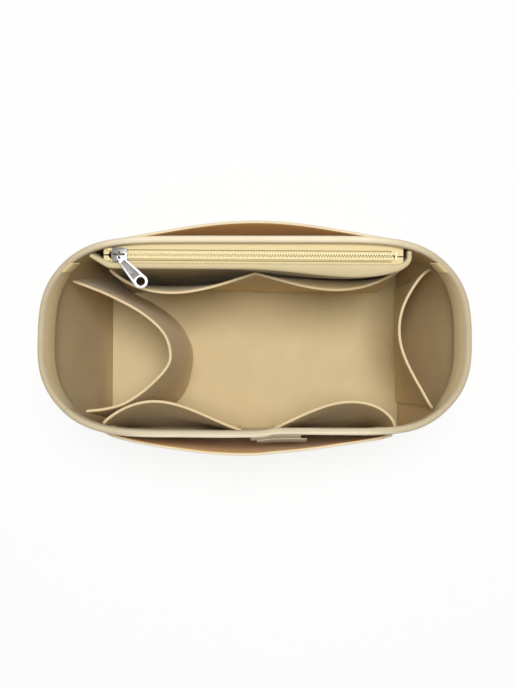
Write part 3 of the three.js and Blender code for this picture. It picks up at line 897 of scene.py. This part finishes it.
def shaded_satin_groove(tab):
    """Gives the tab's sunk face its satin finish, in a darker tone that paints in shade."""
    tab.data.materials.append(finish_of("satin groove"))
    way = max(tab.data.polygons, key=lambda face: face.area * face.normal.z).normal.copy()
    flat = [face for face in tab.data.polygons if face.normal.dot(way) > FLAT_SHARE]
    level = max((face.center.dot(way), face.area) for face in flat)[0]
    edge = zip_sizes().metal_edge
    for face in flat:
        if edge / 2 < level - face.center.dot(way) < 2 * edge:
            face.material_index = 1


# Sewing
SEAM_STEPS = 300
FOOT_INSETS = 1.5
ALL_ROUND = 180
STITCH_LENGTH_SHARE = 0.78
STITCH_HEIGHT_SHARE = 0.8


def sewn(places, name):
    """A row of stitches: one small shape copied along, each given as a place, a way and an up."""
    z = zip_sizes()
    length = z.stitch_spacing * STITCH_LENGTH_SHARE
    half = Vector((z.thread, z.thread * STITCH_HEIGHT_SHARE, length)) / 2
    deselect_all()
    bpy.ops.mesh.primitive_uv_sphere_add(segments=6, ring_count=4, radius=1)
    stitch = bpy.context.object
    model = [vertex.co * half for vertex in stitch.data.vertices]
    faces = [list(face.vertices) for face in stitch.data.polygons]
    bpy.data.objects.remove(stitch)
    corners, sides = [], []
    for place, way, up in places:
        across = up.cross(way).normalized()
        first = len(corners)
        corners += [place + across * co.x + up * co.y + way * co.z for co in model]
        sides += [[first + i for i in face] for face in faces]
    mesh = bpy.data.meshes.new("stitches")
    mesh.from_pydata(corners, [], sides)
    row = bpy.data.objects.new("stitches", mesh)
    bpy.context.collection.objects.link(row)
    shade(row, ALL_ROUND)
    finish_piece(row, "stitches_" + name, "sewing thread", "felt")


def on_wall(wall, along, z, depth):
    return sway(wall.place(along, inside(wall, along, z, depth), z))


def off_wall(wall, along, z, depth):
    """The way out of a wall at a place."""
    step = body_sizes().felt / 4
    across = on_wall(wall, along + step, z, depth) - on_wall(wall, along - step, z, depth)
    rise = on_wall(wall, along, z + step, depth) - on_wall(wall, along, z - step, depth)
    out = across.cross(rise).normalized()
    middle = wall.place(0, 1, 0)
    return out if out.dot(middle) > 0 else -out


def wall_seam(wall, start, end, depth):
    """Places, ways and ups of the stitches between two spots on a wall, given along it and up."""
    start, end = Vector(start), Vector(end)
    path = [on_wall(wall, *start.lerp(end, i / SEAM_STEPS), depth) for i in range(SEAM_STEPS + 1)]
    reach = reaches(path)
    count = max(round(reach[-1] / zip_sizes().stitch_spacing), 1)
    seam = []
    i = 0
    for stitch in range(count):
        target = reach[-1] * (stitch + 0.5) / count
        while reach[i + 1] < target:
            i += 1
        share = (i + (target - reach[i]) / (reach[i + 1] - reach[i])) / SEAM_STEPS
        spot = start.lerp(end, share)
        way = (path[i + 1] - path[i]).normalized()
        up = off_wall(wall, *spot, depth) * (-1 if depth > 0 else 1)
        seam.append((on_wall(wall, *spot, depth), way, up))
    return seam


def sew_sides(ends, low, top, depth, name):
    """Sews up the sides of pockets, each given as its wall and its place along."""
    places = []
    for wall, along in ends:
        places += wall_seam(wall, (along, low), (along, top), depth)
    sewn(places, name)


# Materials
WHITE = (1, 1, 1, 1)
FIBRE_SHADE = (0.90, 0.89, 0.86, 1)
BLOTCH_SHADE = (0.95, 0.94, 0.92, 1)
NOISE_SPAN_SHARES = (0.3, 0.7)
SCUFF_SPAN_SHARES = (0.35, 0.7)
WEAVE_TONE_SHARES = (0.78, 1.06)
NYLON_TONE_SHARES = (0.92, 1.04)
METAL_TONE_SHARES = (0.93, 1)
WORN_SHARE = 1.8
END_RIM_SHADE_SHARES = (0.30, 0.48)
INNER_RIM_SHADE_SHARES = (0.8, 1.1)


def linear(tone):
    """A colour as it is seen on screen, turned to the light's own scale."""
    return (*Color(tone).from_srgb_to_scene_linear(), 1)


def fill(node, inputs):
    """Fills or joins a node's inputs."""
    for key, value in inputs.items():
        if isinstance(value, bpy.types.NodeSocket):
            node.id_data.links.new(value, node.inputs[key])
        else:
            node.inputs[key].default_value = value


def add(tree, kind, output, inputs=(), **settings):
    """Adds a shader node and hands back one of its outputs."""
    node = tree.nodes.new("ShaderNode" + kind)
    for key, value in settings.items():
        setattr(node, key, value)
    fill(node, dict(inputs))
    return node.outputs[output]


def mix(tree, factor, low, high, blend="MIX"):
    """Mixes two colours by a factor."""
    return add(tree, "Mix", 2, {"Factor": factor, 6: low, 7: high}, data_type="RGBA", blend_type=blend)


def ramp(tree, value, low, high, to_low=0, to_high=1):
    """Maps one span of values onto another."""
    return add(tree, "MapRange", "Result", {"Value": value, "From Min": low, "From Max": high,
                                            "To Min": to_low, "To Max": to_high})


def reckon(tree, operation, first, second=0):
    """Works out a value from two others."""
    return add(tree, "Math", "Value", {0: first, 1: second}, operation=operation)


def start_material(name):
    material = bpy.data.materials.new(name)
    material.use_nodes = True
    return material, material.node_tree


def dress(tree, tone, values, **bump):
    """Joins a colour and a bump to a material's shader, and sets its other values."""
    if bump:
        values["Normal"] = add(tree, "Bump", "Normal", {key.title(): bump[key] for key in bump})
    fill(tree.nodes["Principled BSDF"], {"Base Color": tone, **values})


def tinted(tree, tone, shares, factor):
    """Mixes a darker and a lighter tone of a colour by a factor."""
    dark, light = [tuple(min(c * share, 1) for c in linear(tone)[:3]) + (1,) for share in shares]
    return mix(tree, factor, dark, light)


def painted_rim_tone(tree, place, tone):
    """The felt's tone with painted rim light and shade: it fades to a painted highlight on the long
    rims' folds, and to painted shade on the front rim's inner side and on the end rims.
    """
    k = body_sizes()
    spot = add(tree, "SeparateXYZ", 0, {"Vector": place}).node.outputs
    # Painted shade on the end rims, from this span of the length outwards.
    low, high = (share * k.base_length for share in END_RIM_SHADE_SHARES)
    ends = ramp(tree, reckon(tree, "ABSOLUTE", spot["X"]), low, high)
    # Painted light and shade fade in over the top of each fold.
    fold = ramp(tree, spot["Z"], k.height - k.rim_fade, k.height - k.felt / 2)
    low = k.label_left + k.label_width / 2
    step = ramp(tree, spot["X"], low, low + k.label_width, 0, k.front_rim_step)
    # Painted shade on the front rim's inner side, which steps in right of the label.
    low, high = (share * k.felt - k.rim_width / 2 for share in INNER_RIM_SHADE_SHARES)
    inner_rim_shade_ramp = ramp(tree, reckon(tree, "SUBTRACT", spot["Y"], step), low, high)
    inner = reckon(tree, "MULTIPLY", inner_rim_shade_ramp, reckon(tree, "LESS_THAN", spot["Y"]))
    long_rim_light_and_shade = mix(tree, inner, linear(colours().long_rim), linear(colours().inner_rim))
    return mix(tree, fold, linear(tone), mix(tree, ends, long_rim_light_and_shade, linear(colours().end_rim)))


def felt_finish(tree, place, tone, sheen=0.2, has_painted_rim=False):
    """Dense felt: tangled fibres, soft blotches and a matt, slightly downy face, with painted light and
    shade at the rims where asked.
    """
    fibres = add(tree, "TexNoise", "Fac", {"Vector": place, "Scale": 1100, "Detail": 6,
                                           "Roughness": 0.7, "Distortion": 1.2})
    blotches = add(tree, "TexNoise", "Fac", {"Vector": place, "Scale": 45, "Detail": 4})
    fine = mix(tree, ramp(tree, fibres, *NOISE_SPAN_SHARES), FIBRE_SHADE, WHITE)
    broad = mix(tree, ramp(tree, blotches, *NOISE_SPAN_SHARES), BLOTCH_SHADE, WHITE)
    base = painted_rim_tone(tree, place, tone) if has_painted_rim else linear(tone)
    mottled = mix(tree, 1, base, mix(tree, 1, fine, broad, "MULTIPLY"), "MULTIPLY")
    dress(tree, mottled, {"Roughness": 0.95, "Specular IOR Level": 0.15, "Sheen Weight": sheen,
                          "Sheen Roughness": 0.5}, height=fibres, strength=0.5, distance=MM / 2)


def woven_finish(tree, place, tone, scale, roughness):
    """A fine flat weave of warp and weft threads."""
    threads = {"Vector": place, "Scale": scale, "Distortion": 0.4}
    warp, weft = [add(tree, "TexWave", "Fac", threads, bands_direction=way) for way in "XY"]
    cross = reckon(tree, "MULTIPLY", warp, weft)
    dress(tree, tinted(tree, tone, WEAVE_TONE_SHARES, cross), {"Roughness": roughness,
                                                               "Sheen Weight": 0.15},
          height=cross, strength=0.6, distance=MM / 5)


def nylon_finish(tree, place, tone):
    """Satin nylon wire."""
    haze = add(tree, "TexNoise", "Fac", {"Vector": place, "Scale": 300, "Detail": 3})
    dress(tree, tinted(tree, tone, NYLON_TONE_SHARES, haze), {"Roughness": 0.42})


def metal_finish(tree, place, tone, roughness):
    """Bright plated metal with faint scuffs."""
    scuffs = add(tree, "TexNoise", "Fac", {"Vector": place, "Scale": 900, "Detail": 5,
                                           "Roughness": 0.7})
    worn = ramp(tree, scuffs, *SCUFF_SPAN_SHARES, roughness, roughness * WORN_SHARE)
    dress(tree, tinted(tree, tone, METAL_TONE_SHARES, scuffs), {"Roughness": worn, "Metallic": 1},
          height=scuffs, strength=0.06, distance=MM / 5)


# Each finish: how it is made, the name of its colour and its other settings
FINISHES = {
    # The walls' felt carries the painted rim light and shade.
    "wall felt": (felt_finish, "felt", 0.2, True),
    "floor felt": (felt_finish, "floor_felt"),
    "cut felt": (felt_finish, "cut_felt", 0.3),
    "outer pocket felt": (felt_finish, "outer_pocket_felt"),
    "pocket lining felt": (felt_finish, "pocket_lining"),
    "outer lip felt": (felt_finish, "outer_lip", 0.3),
    "pocket felt": (felt_finish, "pocket_felt"),
    "zip panel felt": (felt_finish, "zip_panel_felt"),
    "zip tape": (woven_finish, "tape", 500, 0.8),
    "sewing thread": (woven_finish, "thread", 900, 0.7),
    "coil thread": (woven_finish, "coil_thread", 900, 0.7),
    "label weave": (woven_finish, "label", 700, 0.6),
    "zip coil": (nylon_finish, "coil"),
    "enamelled stop": (nylon_finish, "coil"),
    "plated metal": (metal_finish, "metal", 0.3),
    "plated slider": (metal_finish, "slider_metal", 0.28),
    "satin groove": (metal_finish, "groove", 0.42),
}


def finish_of(name):
    """The material of that name, made when it is first asked for."""
    material = bpy.data.materials.get(name)
    if not material:
        make, tone_name, *settings = FINISHES[name]
        material, tree = start_material(name)
        make(tree, add(tree, "TexCoord", "Object"), getattr(colours(), tone_name), *settings)
    return material


# Operators
class InsertWalls(Operator):
    """Makes the four felt walls with their folded rims, and the floor"""
    bl_idname = "insert.walls"
    bl_label = "Walls and Floor"

    def execute(self, context):
        found_mitre.cache_clear()
        for wall in (BACK, FRONT, LEFT, RIGHT):
            name = wall.name + ("_wall" if wall in (BACK, FRONT) else "_end_wall")
            finish_piece(wall_sheet(wall), "felt_" + name, "wall felt", "felt", name,
                         wall.name + "_facing")
        for wall in (LEFT, RIGHT):
            finish_piece(corner_fold(wall), "felt_corner_fold_" + wall.name, "pocket felt", "felt")
        finish_piece(floor_panel(), "felt_floor", "floor felt", "felt", "base_panel")
        return {"FINISHED"}


class InsertPockets(Operator):
    """Makes the slip pockets on the walls, inside and outside"""
    bl_idname = "insert.pockets"
    bl_label = "Pockets"

    def execute(self, context):
        k = body_sizes()
        outer, inner = k.front_pocket_outer_end, k.front_pocket_inner_end
        ends = {"left": (-outer, -inner), "right": (outer - k.right_front_pocket_short, inner + k.felt)}
        for side, (start, end) in ends.items():
            pocket = wall_pocket(FRONT, start, end, k.front_pocket_bulge, FRONT_LIP_CURVES[side],
                                 k.front_pocket_foot_inset)
            finish_pocket(pocket, "front_slip_pocket_" + side)
        pocket = wall_pocket(RIGHT, k.right_pocket_end, -k.right_pocket_end, k.right_pocket_bulge,
                             RIGHT_END_LIP_CURVE)
        finish_pocket(pocket, "right_end_pocket")
        finish_pocket(left_band(), "left_end_pocket")
        for wall, right_short in ((BACK, 0), (FRONT, k.outer_pocket_right_short)):
            finish_pocket(outer_pocket(wall, right_short), wall.name + "_outer_pocket",
                          "outer pocket felt")
        return {"FINISHED"}


class InsertZipPocket(Operator):
    """Makes the zipped pocket's panel and the slip pockets on it"""
    bl_idname = "insert.zip_pocket"
    bl_label = "Zipped Pocket"

    def execute(self, context):
        finish_piece(zip_panel(), "felt_zip_panel", "zip panel felt", "pocket_felt", "zip_pocket_panel")
        finish_pocket(back_slip_pocket(), "back_slip_pocket")
        return {"FINISHED"}


class InsertLabel(Operator):
    """Makes the blank label in the front outer pocket's mouth"""
    bl_idname = "insert.label"
    bl_label = "Blank Label"

    def execute(self, context):
        # The label's weave is darkened with painted shade.
        finish_piece(label_patch(0), "woven_label", "label weave", "label", "label_patch")
        finish_piece(label_patch(1), "woven_label_fold", "label weave", "label")
        return {"FINISHED"}


class InsertZip(Operator):
    """Makes the zip's tapes, its two coils and their stops"""
    bl_idname = "insert.zip"
    bl_label = "Zip"

    def execute(self, context):
        for side, name in ((1, "back"), (-1, "front")):
            for make, prefix, finish, slot, *nodes in (
                    (zip_tape, "woven_tape_", "zip tape", "zip_tape", "zip_tape_"),
                    (zip_coil, "wound_coil_", "zip coil", "zip_coil", "zip_coil_"),
                    (coil_cord, "coil_cord_", "zip tape", "zip_coil"),
                    (coil_seam, "sewn_coil_", "coil thread", "zip_tape")):
                finish_piece(make(side), prefix + name, finish, slot, *[node + name for node in nodes])
        for node in ("zip_top_stop_back", "zip_top_stop_front", "zip_bottom_stop"):
            finish_piece(refined(node), "crimped_" + node, "enamelled stop", "stop_metal", node)
        return {"FINISHED"}


class InsertSlider(Operator):
    """Makes the slider, its link and its pull tab"""
    bl_idname = "insert.slider"
    bl_label = "Slider and Pull"

    def execute(self, context):
        # The slider and its link take the darker plating painted as shade.
        for node, finish, slot, body in (
                ("slider_body", "plated slider", "slider_metal", "slider"),
                ("slider_crown", "plated slider", "slider_metal", "slider"),
                ("pull_link", "plated slider", "pull_metal", "pull_link"),
                ("pull_tab", "plated metal", "pull_metal", "pull_tab")):
            piece = finish_piece(refined(node), "plated_" + node, finish, slot, node, body=body)
        shaded_satin_groove(piece)
        return {"FINISHED"}


class InsertSewing(Operator):
    """Sews the facings, the pockets and the foot of the walls with rows of stitches"""
    bl_idname = "insert.sewing"
    bl_label = "Sewing"

    def execute(self, context):
        found_mitre.cache_clear()
        k, z = body_sizes(), zip_sizes()
        facing_face = 2 * k.felt + k.seam
        hem = k.height - k.facing_depth + z.stitch_inset
        foot = z.stitch_inset * FOOT_INSETS
        for wall in (FRONT, LEFT, RIGHT):
            reach = wall.half(hem) - mitre(wall, hem, facing_face)
            sewn(wall_seam(wall, (-reach, hem), (reach, hem), facing_face), wall.name + "_facing")
        for wall in (BACK, FRONT, LEFT, RIGHT):
            reach = wall.half(foot) - z.stitch_inset
            sewn(wall_seam(wall, (-reach, foot), (reach, foot), 0), wall.name + "_foot")
        self.sew_pockets()
        return {"FINISHED"}

    def sew_pockets(self):
        k, z = body_sizes(), zip_sizes()
        inset = z.stitch_inset
        end = k.outer_pocket_end - inset
        ends = ((BACK, -end), (BACK, end), (FRONT, -end), (FRONT, end - k.outer_pocket_right_short))
        sew_sides(ends, k.seam + inset, k.outer_pocket_height - k.outer_corner_drop,
                  -k.seam - k.pocket_felt, "outer_pockets")
        ends = ((FRONT, inset - k.front_pocket_outer_end),
                (FRONT, -k.front_pocket_inner_end - inset),
                (FRONT, k.front_pocket_inner_end + k.felt + inset),
                (FRONT, k.front_pocket_outer_end - k.right_front_pocket_short - inset),
                (RIGHT, k.right_pocket_end - inset),
                (RIGHT, inset - k.right_pocket_end))
        sew_sides(ends, k.felt + k.seam + inset, k.pocket_height - inset,
                  k.felt + 2 * k.seam + k.pocket_felt, "inner_pockets")


class InsertStage(Operator):
    """Makes the pale floor, the studio light and the camera"""
    bl_idname = "insert.stage"
    bl_label = "Stage"

    def execute(self, context):
        make_floor()
        make_world()
        make_lamp()
        make_camera()
        return {"FINISHED"}


# Stage
FLOOR_SIZE = 6
FLOOR_WHITE_SHARE = 0.8
WORLD_LEVEL = 0.32
LAMP_WATTS = 18
LAMP_SIZE = 0.5
LAMP_PLACE = Vector((0.03, 0.13, 1.5))
LAMP_AIM = Vector((0, 0, 0.1))
CAMERA_PLACE = Vector((0, -24, 698)) * MM
CAMERA_AIM = Vector((2.65, 0.8, 0)) * MM
SENSOR_WIDTH_MM = 36
LENS_MM = 55.4


def seen_share(tree):
    """1 for rays from the camera, off gloss or through glass, and 0 for the light itself."""
    path = tree.nodes.new("ShaderNodeLightPath").outputs
    either = reckon(tree, "MAXIMUM", path["Is Camera Ray"], path["Is Glossy Ray"])
    return reckon(tree, "MAXIMUM", either, path["Is Transmission Ray"])


def show_white(tree, share, plain, kind, output):
    """Mixes plain light with pure white by a share."""
    white = add(tree, kind, 0, {"Color": WHITE, "Strength": 1})
    surface = add(tree, "MixShader", 0, {"Fac": share, 1: plain.outputs[0], 2: white})
    fill(tree.nodes[output], {"Surface": surface})


def make_floor():
    deselect_all()
    bpy.ops.mesh.primitive_plane_add(size=FLOOR_SIZE, location=(0, 0, -MM / 4))
    floor = bpy.context.object
    floor.name = "studio_floor"
    material, tree = start_material("studio floor")
    shader = tree.nodes["Principled BSDF"]
    fill(shader, {"Base Color": linear(colours().floor), "Roughness": 0.9, "Specular IOR Level": 0})
    share = reckon(tree, "MULTIPLY", seen_share(tree), FLOOR_WHITE_SHARE)
    show_white(tree, share, shader, "Emission", "Material Output")
    floor.data.materials.append(material)


def make_world():
    world = bpy.data.worlds.new("studio")
    bpy.context.scene.world = world
    world.use_nodes = True
    tree = world.node_tree
    light = tree.nodes["Background"]
    fill(light, {"Color": WHITE, "Strength": WORLD_LEVEL})
    show_white(tree, seen_share(tree), light, "Background", "World Output")


def make_lamp():
    deselect_all()
    bpy.ops.object.light_add(type="AREA", location=LAMP_PLACE)
    lamp = bpy.context.object
    lamp.name = "overhead_lamp"
    lamp.data.size = LAMP_SIZE
    lamp.data.energy = LAMP_WATTS
    lamp.rotation_euler = (LAMP_AIM - LAMP_PLACE).to_track_quat("-Z", "Y").to_euler()


def make_camera():
    deselect_all()
    bpy.ops.object.camera_add(location=CAMERA_PLACE)
    camera = bpy.context.object
    camera.name = "photo_camera"
    camera.data.sensor_fit = "HORIZONTAL"
    camera.data.sensor_width = SENSOR_WIDTH_MM
    camera.data.lens = LENS_MM
    camera.data.clip_start = MM
    back = (CAMERA_PLACE - CAMERA_AIM).normalized()
    right = Vector((0, 1, 0)).cross(back).normalized()
    camera.rotation_euler = Matrix((right, back.cross(right), back)).transposed().to_euler()
    bpy.context.scene.camera = camera
    bpy.context.scene.view_settings.view_transform = "Standard"


class InsertPanel(Panel):
    """Lists the insert's operators"""
    bl_idname = "VIEW3D_PT_felt_insert"
    bl_label = "Felt Organizer Insert"
    bl_space_type = "VIEW_3D"
    bl_region_type = "UI"
    bl_category = "Insert"

    def draw(self, context):
        for operator in OPERATORS:
            self.layout.operator(operator.bl_idname)


OPERATORS = (InsertStage, InsertWalls, InsertPockets, InsertZipPocket, InsertLabel, InsertZip,
             InsertSlider, InsertSewing)
GROUPS = {"insert_body_sizes": InsertBodySizes, "insert_zip_sizes": InsertZipSizes,
          "insert_colours": InsertColours}
CLASSES = (*GROUPS.values(), *OPERATORS, InsertPanel)


def register():
    for operator in OPERATORS:
        operator.bl_options = {"REGISTER", "UNDO"}
    for each in CLASSES:
        bpy.utils.register_class(each)
    for name, group in GROUPS.items():
        setattr(bpy.types.Scene, name, PointerProperty(type=group))


def unregister():
    for name in GROUPS:
        delattr(bpy.types.Scene, name)
    for each in reversed(CLASSES):
        bpy.utils.unregister_class(each)


def main():
    register()
    bpy.ops.insert.stage()
    bpy.ops.insert.walls()
    bpy.ops.insert.pockets()
    bpy.ops.insert.zip_pocket()
    bpy.ops.insert.label()
    bpy.ops.insert.zip()
    bpy.ops.insert.slider()
    bpy.ops.insert.sewing()


if __name__ == "__main__":
    main()
